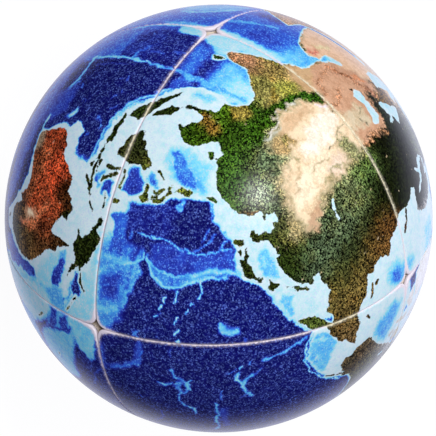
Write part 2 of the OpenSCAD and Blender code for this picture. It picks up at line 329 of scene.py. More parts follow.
# The sea floor, deep to shallow from 0 to 1, laid down in turn: the level reached, how far
# it fades in degrees, the width of a line (0 for an area), and the places.
SEA = [
    (0.95, 2, 0, [-2, 30, 68, 23, 68, 70, 10, 70]),
    # Indian Ocean
    (0.42, 4, 0, [76, 22, 60, 26, 45, 10, 45, -30, 60, -45, 90, -42, 92, -20, 79, -14, 78, 6]),
    (0.64, 5, 0, [58, 29, 74, 28, 75, 18, 66, 19, 60, 20]),
    (0.72, 2.4, 0, [69, 24, 73.6, 23, 73.4, 19.6, 69.6, 20]),
    (0.22, 3, 0, [53, 10, 58, 10, 58, 3, 54, 2]),
    (0.32, 4, 0, [65, 15, 72, 16, 72, 8, 65, 8]),
    (0.6, 1.2, 1.2, [61, 11.4, 64.8, 5, 68, 0]),
    (0.62, 4, 0, [52, -2, 59, -3, 64, -8, 65, -15, 60, -20, 52, -16]),
    (0.82, 1.2, 0.8, [57, -2, 61, -4.5, 64.5, -8, 65.8, -12, 65.4, -16]),
    (0.88, 1.8, 0, [72.8, 21, 77, 20, 79.5, 11, 83.4, 8.6, 82.8, 5.6, 80.8, 3, 79.2, 0, 78.8, -8, 74, -9,
        73.2, 0]),
    (0.76, 0.7, 0.3, [75.4, 16, 75.8, 10, 76.8, 5]),
    (0.99, 2.0, 1.6, [75, 4, 75, -4]),
    (0.8, 1.6, 1.6, [76.5, -3, 77, -7]),
    (0.62, 2.0, 2.4, [74, -7, 74.3, -13]),
    (0.78, 1.2, 0.8, [75.6, -9, 75.6, -17, 77, -24]),
    (0.46, 4, 0, [82.4, 6, 96, 6, 97, 0.5, 80.6, 0]),
    (0.68, 5, 0, [83, 18, 95, 18, 95, 9, 83.6, 9.4]),
    (0.88, 4, 0, [86, 24, 97, 24, 95, 15.6, 88, 15.6]),
    (0.86, 2, 0, [90, 22, 95, 20, 97.4, 17, 95.6, 13.4, 92.6, 14]),
    (0.74, 1.6, 1.3, [93.6, 17, 93.6, 9, 93.4, 1]),
    (0.12, 2.5, 0, [79.5, 0, 92, 0.5, 92, -9, 79, -10]),
    (0.2, 3, 0, [77.5, -9, 91.5, -9, 90, -19, 79, -18]),
    (0.42, 4, 0, [79, -21, 90, -20, 90, -30, 80, -30]),
    (0.04, 2, 0, [93.5, 3, 101, 1, 107, -6, 122, -10, 122, -16, 115, -16, 108, -27, 92, -27, 92.5, -10]),
    (0.6, 0.8, 0.9, [93.3, 21, 93.4, 12, 93.2, 6, 92.7, 0, 92.9, -5]),
    (0.72, 0.9, 0.7, [92.8, -4, 92.3, -9, 91.7, -14, 91.4, -20, 90.6, -28]),
    (0.8, 0.7, 0.6, [92.2, -9, 91.7, -14, 91.4, -20, 90.8, -27]),
    (0.62, 1.1, 1.0, [91.5, -13.5, 89.2, -13.8]),
    (0.5, 1.4, 1.0, [88.5, -13.5, 86.8, -11.6]),
    (0.45, 0.9, 0.5, [86.8, 0, 87, -3.4]),
    (0.38, 0.8, 0.5, [88.3, -5.5, 88.3, -10]),
    (0.6, 0.5, 0.4, [80.6, -13.6, 80.8, -14.1]),
    (0.78, 0.9, 1.2, [90.6, -28.6, 95, -28.6, 99.5, -28.8, 103.6, -31.6]),
    (0.72, 0.8, 0.7, [100.7, -27.2, 102, -29.2]),
    (0.66, 0.6, 0.5, [101.6, -25.6, 103.2, -24.6]),
    (0.36, 3, 0, [84, -34, 110, -36, 140, -40, 150, -48, 90, -48]),
    (0.3, 3, 0, [102, -26, 110, -26, 114.5, -31, 114, -38, 103, -36]),
    (0.5, 1.5, 1.2, [88, -34, 91, -30]),
    (0.4, 0.9, 0.3, [93.8, -12, 94, -25]),
    # specks south of Java
    (0.5, 0.6, 0.5, [98.2, -11.2, 99.6, -10.6]),
    (0.5, 0.5, 0.4, [98.6, -12.4, 99.2, -13.2]),
    (0.48, 0.5, 0.4, [102.2, -10, 103, -10]),
    (0.5, 0.6, 0.5, [104.5, -11, 105.6, -12]),
    (0.45, 0.5, 0.4, [107.2, -9.4, 108.2, -10.4]),
    (0.5, 0.6, 0.5, [111, -13.4, 112.4, -12.2]),
    (0.6, 0.6, 0.5, [112.2, -11.4, 114.4, -11]),
    (0.55, 0.6, 0.4, [116.2, -13.6, 116.6, -14.4]),
    (0.5, 0.3, 0.15, [106.2, -21, 106.8, -20.5, 107.6, -20.8, 107.8, -21.4, 107.2, -21.9, 106.4, -21.7,
        106.2, -21]),
    # Sunda shelf and Andaman Sea, up to the deep
    (1.0, 0.9, 0, [106, 24, 123, 26, 122, 21, 116, 19.4, 110, 16]),
    (1.0, 0.5, 0, [96.5, 18, 94.8, 15.6, 94.9, 13, 94.9, 10.4, 95.8, 8.2, 96.8, 5.7, 98, 3.8, 99.8, 2.1,
        101.6, 0.7, 102.6, -0.7, 104.2, -2.9, 105.6, -4.8, 107.8, -6.4, 110, -7.7, 113.1, -8.4, 117,
        -9.2, 121.2, -9.5, 122.8, -10.2, 126, -11, 136, -9, 136, 3, 128, 8, 122, 12, 110, 18, 106, 23]),
    (0.8, 0.9, 0.9, [98.5, 2.6, 100.5, 0.6, 102.2, -1.6, 104, -4, 106.4, -6.2, 110, -8.2, 114, -9, 119,
        -9.6, 122, -10]),
    (0.62, 0.5, 0.3, [100.4, 1.6, 103, -1.2, 105.4, -4, 108, -6, 111, -7.4]),
    (0.4, 0.6, 0.5, [113, -8.4, 117, -8.9, 121.4, -9.4]),
    (0.7, 1.6, 0, [96.6, 14, 98.4, 13.6, 98.6, 8.6, 96.8, 9]),
    (0.36, 1.2, 0, [95.6, 7, 98, 3.6, 98.4, 1.4, 95.4, 1.4]),
    (1.0, 0.7, 0, [112, 22, 122.6, 25, 124.2, 20.4, 125, 18, 125.6, 15.2, 128.4, 13, 129.4, 10, 129.8, 6,
        131.4, 3.6, 136, 2.4, 130, -4, 118, 4, 112, 12]),
    # seas within the shelf
    (0.76, 2.0, 0, [122.4, 23.4, 115, 21.4, 112.6, 16, 112.4, 11, 116, 9.6, 121, 13.4, 122, 19]),
    (0.62, 1.2, 0, [121.6, 22.4, 118, 20.6, 121, 18]),
    (0.48, 0.8, 0, [121.4, 20, 118.6, 19, 117.2, 16.8, 115, 14.8, 113.2, 12.4, 114.4, 11.2, 116.6, 12.6,
        119, 13.2, 120.8, 15, 121.6, 17]),
    (0.56, 0.9, 0, [120.6, 8, 122, 7.2, 124, 7.8, 124.8, 10.8, 122.4, 10.6]),
    (0.42, 0.7, 0, [122.2, 8, 123.8, 8.2, 124.2, 10.2, 122.8, 9.8]),
    (0.28, 0.9, 0, [121, 3.6, 122.6, 1.9, 127.2, 1.9, 128.2, 4.8, 126.4, 7.6, 124.3, 7.4, 122, 5.6]),
    (0.28, 0.9, 0, [126.2, -0.8, 129.4, -0.6, 129.6, -3.4, 127.4, -4.2, 126.2, -3]),
    (0.55, 1.0, 0, [123.6, -4.4, 129, -4.6, 130, -7, 125, -6.8]),
    (0.28, 0.7, 0.9, [126.4, -6.6, 130, -6.2, 132.6, -5.6, 134, -4.4, 133.4, -3.3, 131.4, -3.6]),
    (0.75, 0.5, 0.3, [129.6, -5, 131.6, -4.4, 132.6, -4.6]),
    (0.5, 0.6, 0.5, [129.4, -1.2, 132, -0.8, 134.4, -1.6]),
    (0.44, 1.1, 0, [132.4, 6, 141, 6.4, 141, 0.8, 134.8, 0.8, 133, 2.6]),
    (0.7, 1.0, 0.6, [133, 6, 135.4, 7.4, 138, 7.6]),
    (0.3, 0.8, 0.8, [127.2, -1.6, 128, -2]),
    # shelves of northern Australia and New Guinea
    (0.8, 2.4, 0, [123, -10.8, 122.6, -13.5, 120.8, -16.4, 117.8, -16.6, 123, -20, 128, -14]),
    (1.0, 0.6, 0, [123.4, -10.8, 123.2, -13.5, 121.6, -16, 118, -16.2, 115.8, -15.2, 115, -16.8, 113.4,
        -18.2, 113.4, -19.6, 115.4, -21.4, 114.2, -24, 115.4, -28, 117, -31, 117, -33.4, 119, -34.9, 123,
        -34.6, 127, -33.8, 131, -33.2, 135, -34.6, 139, -37, 143, -39.6, 147, -43.5, 152, -42, 153.6,
        -38, 156, -34, 157.2, -29, 156.6, -23, 164, -20, 160, -10, 156, 1, 136, 3, 126, -8]),
    (0.6, 1.0, 1.0, [109.9, -21.6, 112.2, -24.6]),
    (0.86, 0.8, 1.4, [110.8, -21.8, 112.4, -23.6]),
    (0.92, 0.6, 0.9, [112.2, -33.4, 114, -34, 118, -34]),
    (0.84, 3, 0, [148, -11, 165, -11, 169, -18, 162, -23, 157, -22, 150, -17]),
    (0.85, 1.2, 0, [150, -6, 154, 1, 166, 0.4, 170, -1, 168, -9, 171, -10, 164, -11, 156, -9]),
    # Coral, Solomon and Tasman seas
    (0.62, 1.4, 0, [158, -10.6, 164.4, -11, 164.4, -17.4, 160.4, -18, 158.4, -14]),
    (0.6, 1.2, 0, [146.8, -10.8, 152, -10.4, 152, -13, 148, -12.4]),
    (0.26, 0.9, 0, [149.4, -11, 152, -10.8, 157.6, -12.4, 158.2, -15.2, 154, -14.6, 150.4, -12.6]),
    (0.1, 0.7, 0, [151.4, -6.6, 153, -5.2, 158, -5.2, 159, -6.8, 157, -7.4, 153.4, -7.2]),
    (0.45, 1.0, 0.8, [158.4, -6.6, 161, -8.4, 164, -10]),
    (0.5, 0.8, 0.6, [154, -7.6, 160, -9.2]),
    (0.9, 2.4, 0, [163.4, -16, 170, -17.6, 178, -26, 176, -42, 164, -46, 160, -34, 160, -20]),
    (0.72, 1.6, 1.2, [160.6, -18, 162, -26, 165, -37]),
    (0.34, 1.2, 0, [157.2, -23, 159.4, -24, 161, -31, 163.6, -38, 156.5, -44, 153, -38, 157.6, -31]),
    (0.62, 2, 0, [176, -27, 190, -24, 188, -45, 178, -34]),
    # round the islands east of New Guinea
    (0.76, 1.8, 0, [165, -0.4, 176, -1.6, 178.6, -4, 175, -7, 170, -9, 165, -8]),
    (0.72, 2.5, 0, [170, -7.6, 176, -8.6, 182, -10.4, 192, -12, 196, -18, 188, -24, 180, -24, 175, -20,
        171, -13]),
    (0.62, 1.0, 0, [165, -9, 171, -9.4, 174, -16, 177, -21, 170, -17.6, 165, -16.6]),
    (0.26, 0.8, 0, [165.6, -10, 170.6, -10, 171.8, -13.2, 167, -12.8]),
    (0.3, 0.9, 0, [165.6, -13.8, 170.6, -14.2, 174, -17.6, 175, -19.6, 170, -16.8, 166, -15.6]),
    (0.15, 0.6, 0.3, [170, -9.4, 171.4, -10.8, 172, -13.8]),
    (0.22, 0.6, 0.5, [171, -11.5, 173, -16, 175, -20.4, 178, -23.4, 183, -25.6]),
    (0.25, 0.6, 0.6, [183.6, -17.4, 185.4, -16.8]),
    # western Pacific
    (0.97, 0.5, 0, [118, 24.6, 122.4, 24.4, 127, 26.6, 129, 28.4, 131.6, 31.6, 133.4, 33.6, 137.5, 34.2,
        141.5, 35.8, 143, 38, 143.6, 41, 145.6, 43.4, 150, 46, 155, 49.4, 159, 52.2, 162, 54.6, 160, 62,
        130, 62, 116, 40]),
    (0.03, 0.6, 0, [124.6, 24.6, 130.6, 28.8, 137, 26, 137, 18.5, 125, 19]),
    (0.18, 1.5, 0, [127, 17.4, 135.6, 17.4, 136, 6, 130, 5]),
    (0.72, 0.9, 1.7, [126, 18.2, 127.2, 17.9]),
    (0.5, 0.6, 0.4, [126.5, 18, 127, 18]),
    (0.72, 0.6, 0.5, [123.2, 24.6, 127, 26, 130.6, 30, 132.6, 33]),
    (0.7, 0.7, 0.6, [132.4, 31.2, 134.6, 30]),
    (0.72, 0.7, 0.5, [131.4, 28, 133.4, 27.6, 135, 26.2, 137.2, 24.2]),
    (0.6, 0.6, 0.5, [130.4, 26.2, 132.4, 25.8, 134.4, 25.4]),
    (0.34, 1.0, 0, [134.4, 33.4, 140, 35.4, 141.8, 30, 144, 25, 141.6, 24, 138.6, 25.4, 136.6, 28.6]),
    (0.3, 1.2, 0, [138.4, 25, 144, 25, 145, 18, 143.4, 14, 138, 13, 137, 18]),
    (0.8, 0.6, 0.5, [134.2, 33, 136.2, 28.6, 138.2, 25, 137.6, 22.2, 136.5, 18, 136.1, 15, 136.8, 12,
        136.4, 9.4]),
    (0.52, 1.4, 0, [139.8, 36, 142.2, 35.4, 143.4, 31, 144.4, 27.4, 147.4, 23.4, 148.4, 20, 147.8, 16.6,
        145, 14.4, 142.4, 13.4, 144.4, 16.4, 145, 20, 143.4, 24, 141.4, 29, 140, 32]),
    (0.78, 0.9, 1.2, [140.8, 35.6, 141.3, 31.6, 142.6, 27.6, 143.8, 25]),
    (0.85, 0.7, 0.6, [143, 33, 143.8, 30, 144.2, 27.4, 145.6, 25]),
    (0.84, 0.7, 0.8, [145.4, 25, 147.7, 22.6, 148.6, 19.6, 147.6, 16.6, 145.6, 14.6, 142, 12.9]),
    (0.76, 0.6, 0.5, [143.8, 24.4, 145, 20.6, 144.8, 17, 143.4, 14.4, 141.6, 13]),
    (0.02, 0.5, 1.0, [144.6, 33, 145.2, 29, 147.4, 25.6, 149.8, 22.4, 150, 19, 149, 16, 147, 13.6, 143.4,
        12.2, 140, 11]),
    # Caroline ridges and basins
    (0.55, 4.0, 0, [140, 9.4, 146, 10, 152, 9, 160, 7, 165, 4, 166, -1, 140, -1]),
    (0.66, 1.6, 1.2, [140.6, 11.2, 143, 10.6, 147, 10, 151, 9.6, 156, 7.6]),
    (0.82, 0.7, 0.6, [141, 12, 142.6, 11.8, 144.4, 9.6, 145, 7]),
    (0.78, 0.8, 0.6, [145.6, 11.4, 147, 10.6, 149.6, 10.4]),
    (0.36, 3.0, 0, [139, 6.6, 142.6, 6.6, 142.6, 2.4, 139, 2.4]),
    (0.26, 3.0, 0, [147.6, 6.8, 154.8, 6, 155.4, 2, 149.6, 2]),
    (0.75, 2.4, 1.4, [157.6, 6.6, 159, 1.6]),
    (0.72, 2.0, 0.8, [144.4, 7.4, 144.4, 1.6]),
    (0.75, 0.4, 0.2, [143.6, 10, 144.6, 7, 146.2, 3.6, 148.4, 0.5]),
    (0.5, 0.7, 0.5, [151.4, 3.6, 152.6, 1]),
    (0.58, 1.0, 1.0, [146.2, 12, 148, 10.6, 152, 9]),
    (0.85, 2.0, 0, [137, 0.2, 158, 0.4, 166, -1, 162, -4, 148, -1.6]),
    # open ocean: scattered mounts, rises, the island chains
    *[(0.95, 0.5, 0.55, mount) for mount in (
        [145, 27.2, 146.4, 27.6], [147, 27.6, 150, 27.2], [149, 21.8, 150.6, 21.6],
        [151, 21.6, 152.6, 20.8], [151.6, 18.6, 152.6, 18.8], [153.6, 18.2, 154.8, 17.8],
        [151.8, 25.8, 152.4, 25.6], [154, 24.6, 155, 24.2], [156.6, 22.6, 158.6, 21.2],
        [156.8, 17, 157.6, 16.4], [160.4, 22.6, 161.6, 22, 162.6, 21.4], [163.6, 22.8, 164.4, 22.4])],
    (0.6, 0.7, 0.6, [162.6, 12, 164.4, 10.6]),
    (0.42, 0.5, 0.4, [163, 17.2, 163.4, 16.8]),
    (0.4, 0.5, 0.4, [155.8, 17.8, 157, 16.4]),
    (0.35, 0.6, 0.5, [167.4, 20.2, 169.8, 20.4]),
    (0.5, 1.6, 0, [156.6, 33.4, 160.4, 32.6, 162, 36, 161.6, 38, 158.6, 37.8, 158.6, 34.8]),
    (0.76, 0.9, 1.3, [159.6, 37.2, 160.6, 35.6, 160.6, 33.8, 157.8, 33.2]),
    (0.5, 0.8, 0.6, [163.4, 39.2, 164.2, 39.2]),
    (0.55, 1.0, 0.9, [167.2, 54.8, 169.4, 53.2]),
    (0.72, 0.7, 0.6, [168.6, 53.8, 170.2, 51, 171.6, 48.8, 172.8, 46.4, 173.4, 43]),
    (0.66, 0.6, 0.5, [173, 40, 173.8, 39.9]),
    (0.8, 0.6, 0.7, [174.2, 37.7, 175, 37.2]),
    (0.6, 0.6, 0.4, [175, 36.2, 176.6, 34.2]),
    (0.8, 0.9, 0.9, [176.8, 36.8, 179.6, 36, 183, 36.8, 186.6, 37.4, 189.4, 38]),
    (0.72, 1.0, 1.0, [179, 39.8, 180.6, 38.6, 182, 37.2]),
    (0.5, 0.6, 0.4, [176.2, 43, 178.8, 40.8]),
    (0.5, 0.5, 0.4, [187.6, 37.2, 189.2, 35.6]),
    (0.62, 0.6, 0.5, [184.2, 31.6, 187, 30.4, 189, 30.6]),
    (0.8, 0.7, 0.7, [190.4, 28.8, 193.6, 28, 197, 27.6, 200, 26.2, 203.6, 25.4]),
    (0.82, 0.7, 0.6, [203, 25.4, 207.6, 24, 210.4, 22]),
    (0.3, 2.0, 2.0, [194, 29.6, 207, 26.6]),
    (0.62, 0.9, 0.9, [174, 20, 177, 20.4, 178.6, 22.6, 182, 23.4, 184, 22]),
    (0.8, 0.6, 0.5, [178.4, 24.4, 179.4, 23.2, 182.6, 23.8]),
    (0.55, 0.9, 1.4, [179.2, 21.4, 181, 20.2, 183.4, 20.8]),
    (0.7, 0.7, 0.6, [184, 20.6, 187, 19.6, 190.4, 20.4, 192.4, 22, 195, 22.2]),
    (0.82, 0.5, 0.4, [190.8, 21, 193, 22.6, 194.6, 22.6]),
    (0.66, 0.8, 0.8, [179.8, 19, 180.6, 17, 179.6, 15.6]),
    (0.6, 0.8, 0.8, [168.6, 13, 171.4, 12]),
    (0.38, 1.5, 2.0, [167, 12, 173, 11, 176, 6, 177, 3]),
    (0.5, 0.9, 0.6, [173.4, 12, 174.4, 8.6, 176.4, 5, 178, 2.4]),
    (0.5, 0.8, 0.7, [163.4, 10.6, 165, 12.4]),
    (0.42, 2.0, 1.6, [170, 1, 178, 0.6]),
    (0.55, 0.6, 0.5, [187, 9, 188, 9.4]),
    (0.35, 0.8, 0.6, [194, 12.8, 198, 12, 203, 8]),
    (0.14, 1.6, 0, [178.6, 0, 198, 0, 198, -8.6, 184, -9.4, 177, -8.4, 175, -6.8, 178, -4]),
    (0.5, 0.8, 0.3, [180, -1, 183, -3.4, 190, -6]),
    # Sea of Japan, Okhotsk and Kuril islands
    (0.68, 1.0, 0, [131.4, 41, 133, 42.6, 137, 45, 140.6, 46.6, 140.8, 43, 139, 41, 134, 39.4]),
    (0.85, 0.8, 0.9, [135.2, 41.2, 137, 41.8]),
    (0.68, 1.0, 0, [146, 47.6, 150, 47.6, 156.6, 50.6, 154, 51.4, 147, 50.4]),
    (0.86, 0.5, 1.0, [145.6, 44.4, 149.4, 46.2, 154, 49.2, 158, 51.6, 161, 53.6, 164.4, 56]),
    (0.03, 0.7, 0.6, [144.6, 40, 147, 42.8, 151, 45, 156, 48.4, 160, 51.4, 163.6, 54]),
    # Bering Sea and Aleutians
    (1.0, 0.8, 0, [164, 57, 180, 54.4, 196, 56.2, 212, 59.6, 214, 61, 196, 68, 180, 66, 164, 62]),
    (0.66, 0.9, 0, [167.6, 60, 172, 62, 179.4, 63, 185, 61.4, 190, 59, 194.5, 58, 192, 56.4, 186, 55.6,
        180, 55, 174, 55.8, 168.2, 57.6]),
    (0.85, 0.7, 0.7, [171.4, 57, 172.4, 60]),
    (0.82, 0.6, 0.6, [180, 57.2, 182, 57.2, 183.8, 55.6]),
    (0.95, 0.5, 0.5, [165, 57, 171, 55, 180, 54, 188, 54.2, 196, 55.6, 205, 57.4, 212, 59]),
    (0.02, 0.5, 0.5, [166, 55.8, 172, 54.2, 180, 53, 188, 53.1, 196, 54.6, 205, 56.2, 213, 58]),
    # Arctic
    (1.0, 1.5, 0, [-15, 60, 100, 68, 190, 66, 230, 70, 345, 66, 345, 78, 300, 80, 260, 79, 345, 95, -15,
        95]),
    (0.78, 3.0, 0, [90, 87, 100, 80.5, 122, 79, 142, 80.4, 155, 84, 140, 88]),
    (0.42, 3.0, 0, [100, 88, 106, 83, 122, 81.6, 138, 82.6, 144, 85.6, 130, 88.6]),
    (0.66, 4.0, 0, [150, 89, 20, 89, 20, 84, 100, 84]),
    (0.6, 3.0, 0, [196, 84, 196, 76, 204, 73.4, 232, 72.4, 236, 84]),
    (0.74, 4.0, 0, [-15, 78, -15, 66, 4, 68, 14, 74]),
    # Atlantic and east Pacific, with the ridges only
    (0.5, 3, 3, atlas([-17, 64, -30, 58, -29, 50, -30, 40, -42, 30, -46, 20, -40, 8, -20, 0, -13, -10,
        -14, -25, -12, -40, -3, -52], 2.5)),
    (0.5, 4, 4, atlas([253, 20, 256, 5, 252, -10, 247, -30, 248, -50, 230, -58, 200, -64])),
    (0.45, 3, 3, [72, -25, 90, -40, 120, -50, 150, -60]),
    (0.45, 3, 3, [72, -25, 52, -35, 22, -50]),
    (0.6, 2, 1, atlas([280, -25, 250, -27])),
]
SEA_BASE = 0.07  # level of the deep sea floor that all the above is laid on
SHELF = 0.75  # width in degrees over which the shelf round every coast falls away
REACH = 2.0  # degrees past which a coast is no longer measured


def line_distance(lon, lat, line, closed):
    """Degrees from each place to a line, measured flat with the east scale of that place."""
    shrink = np.cos(np.radians(np.clip(lat, -88, 88)))
    ends = np.roll(line, -1, axis=0) if closed else line[1:]
    best = np.full(len(lon), 99.0)
    for (x0, y0), (x1, y1) in zip(line, ends):
        ax, ay = (x1 - x0) * shrink, y1 - y0
        px, py = (lon - x0) * shrink, lat - y0
        along = np.clip((px * ax + py * ay) / (ax * ax + ay * ay + 1e-9), 0, 1)
        best = np.minimum(best, np.hypot(px - along * ax, py - along * ay))
    return best


def inside(lon, lat, line):
    found = np.zeros(len(lon), bool)
    for (x0, y0), (x1, y1) in zip(line, np.roll(line, -1, axis=0)):
        if y0 != y1:
            crosses = (y0 > lat) != (y1 > lat)
            found ^= crosses & (lon < (x1 - x0) * (lat - y0) / (y1 - y0) + x0)
    return found


def signed(lon, lat, places, closed, reach):
    """Signed degrees to an outline or line, clipped at reach: below zero inside it."""
    result = np.full(len(lon), reach)
    for turn in (-360, 0, 360):
        line = np.array(places, float).reshape(-1, 2) + (turn, 0)
        low, high = line.min(0), line.max(0)
        wide = reach / np.maximum(np.cos(np.radians(lat)), 0.1)
        near = (lat > low[1] - reach) & (lat < high[1] + reach)
        near &= (lon > low[0] - wide) & (lon < high[0] + wide)
        if near.any():
            own = line_distance(lon[near], lat[near], line, closed)
            if closed:
                own = np.where(inside(lon[near], lat[near], line), -own, own)
            result[near] = np.minimum(result[near], own)
    return result


def ripple(points, size, seed):
    """A soft random wave over the ball, about -1 to 1, its swells size degrees apart."""
    chance = np.random.default_rng(seed)
    total = np.zeros(len(points))
    for way in chance.normal(size=(14, 3)):
        pace = 360 / size * chance.uniform(0.6, 1.7)
        total += np.sin(points @ (way / np.linalg.norm(way)) * pace + chance.uniform(0, 6.3))
    return total / 4


def swayed(lon, lat, points, size, strength, seed):
    """Places pushed about by ripples, so that nothing drawn from few points stays straight."""
    east = ripple(points, size, seed) + 0.5 * ripple(points, size / 2.7, seed + 1)
    north = ripple(points, size, seed + 2) + 0.5 * ripple(points, size / 2.7, seed + 3)
    return lon + strength * east / np.maximum(np.cos(np.radians(lat)), 0.1), lat + strength * north


EAST_OF_X = 75  # +X comes out at 75 degrees east on the globe
FIRST_EAST = -15  # and the degrees run from here to 345


def degrees_of(points):
    turn = np.degrees(np.arctan2(points[:, 1], points[:, 0]))
    lon = (turn + EAST_OF_X - FIRST_EAST) % 360 + FIRST_EAST
    return lon, np.degrees(np.arcsin(np.clip(points[:, 2], -1, 1)))


def coast_and_sea(points):
    """Land (signed degrees, above zero on land) and sea level for points of a unit ball."""
    lon, lat = degrees_of(points)
    coast = np.full(len(points), REACH)
    for outline in LAND:
        coast = np.minimum(coast, signed(lon, lat, outline, True, REACH))
    for outline in WATER:
        coast = np.maximum(coast, -signed(lon, lat, outline, True, REACH))
    for width, line in NARROW:
        coast = np.minimum(coast, signed(lon, lat, line, False, REACH) - width)
    for width, line in LAKES:
        coast = np.maximum(coast, width - signed(lon, lat, line, False, REACH))
    level = np.full(len(points), SEA_BASE)
    there = swayed(lon, lat, points, 3.0, 0.3, 5)
    for target, fade, width, line in SEA:
        away = signed(*there, line, width == 0, fade + width / 2 + 0.1) - width / 2
        share = np.clip(0.5 - away / fade, 0, 1)
        level += (target - level) * share * share * (3 - 2 * share)
    shelf = np.clip(1.2 - coast / SHELF, 0, 1)
    return -coast, np.maximum(level, shelf * shelf * (3 - 2 * shelf))


# Ground colours, in two layers: soft spots of colour that blend into each other, and then
# areas and bands laid over them. Forest is dark green, steppe and desert cream to red.
def linear(code):
    """A hex colour as linear light."""
    parts = [int(code[n:n + 2], 16) / 255 for n in (1, 3, 5)]
    return [c / 12.92 if c <= 0.04045 else ((c + 0.055) / 1.055) ** 2.4 for c in parts]


# degrees east and north, how far the colour reaches in degrees, and the colour
GROUND = [
    (115, 30, 7, "#304e1c"), (119, 36, 4, "#5c6a48"), (108, 33, 4, "#5a6438"),
    (106, 25, 5, "#2c4a0e"), (113, 25, 4, "#2a480e"), (128, 46, 6, "#26340f"),
    (124, 46, 3, "#66683a"), (129.5, 38, 3, "#2c3610"), (138, 38, 5, "#242e0e"),
    (161, 57, 4, "#3e4c1e"), (148, 66, 6, "#665a2e"), (137, 64, 5, "#3c421e"),
    (120, 64, 6, "#222c12"), (100, 65, 7, "#18220b"), (110, 57, 6, "#46543a"),
    (125, 56, 6, "#3e4c34"), (97, 57, 5, "#606c42"), (84, 55, 5, "#4c6430"),
    (80, 64, 7, "#121a06"), (60, 58, 8, "#121806"), (45, 58, 8, "#161c0a"),
    (90, 72, 5, "#5e3e1c"), (108, 72, 6, "#5c4420"), (125, 71, 5, "#4c401e"),
    (145, 70, 6, "#54431f"), (170, 67, 6, "#5a4a26"), (185, 67, 5, "#6a5434"),
    (108, 52, 4, "#3e4c2c"), (104, 53, 3, "#4c5836"), (94, 53.5, 3, "#707a54"),
    (86, 52.5, 3, "#5c6c3a"), (82, 27, 3.2, "#8a8c3c"),
    (88, 26, 3, "#989050"), (80, 21, 3.6, "#86743e"), (85, 21, 3, "#78743a"),
    (81, 15, 3.6, "#a87c58"), (84.4, 8, 1.6, "#24400f"), (75, 28, 3, "#cca87c"), (93, 26, 2.6, "#2c4810"),
    (97.6, 22, 1.5, "#96843c"), (100, 24, 3, "#2e4810"), (104.5, 16.6, 1.7, "#6c5420"),
    (101, 19, 2, "#34500e"), (108, 15, 2.6, "#34500e"), (110, 22, 3, "#2c4a0e"),
    (45, 44, 4, "#1c2612"), (52, 45, 3, "#161e10"), (44, 41.5, 3, "#7c5c20"),
    (18, 50, 8, "#3c4826"), (20, 23, 13, "#e6c8a0"), (25, 0, 10, "#22380f"),
    (28, -25, 8, "#7a5c34"), (46, 6, 5, "#b08c64"), (106, 2, 5, "#1c280a"),
    (118, 1, 3, "#2c3216"), (112, -6, 4, "#1c280a"), (124, -7.5, 3, "#20280c"), (144, -5, 6, "#1c260a"),
    (124, 12, 6, "#4c561f"), (127, -21, 5, "#9c3c1c"), (120, -26, 4, "#943c1c"),
    (125, -28, 4, "#8c4c28"), (137, -24, 5, "#a04824"), (150, -28, 5, "#5c4626"),
    (150, -35, 4, "#3e3c20"), (132, -14.5, 2.6, "#3a200c"), (145, -14, 2.6, "#3a240f"),
    (121, -32.5, 1.8, "#a08866"), (120, -22.5, 1.6, "#54240f"), (136, -31, 3, "#7c4828"),
    (144, -21, 3, "#74381c"), (148, -22, 3, "#54381c"), (143, -34, 3, "#5c4426"),
    (206, 64, 7, "#443c28"), (206, 70, 5, "#5a4c36"), (240, 60, 10, "#3c4220"),
    (262, 40, 9, "#6a6638"), (250, 35, 5, "#b89468"), (278, 40, 7, "#3c4c22"),
    (270, 72, 9, "#cfd2cc"), (320, 74, 12, "#f2f4f4"), (300, -8, 11, "#22380f"),
    (296, -25, 6, "#6c6438"), (292, -42, 5, "#947c50"), (90, -80, 30, "#f2f4f4"),
    (270, -80, 30, "#f2f4f4"),
]
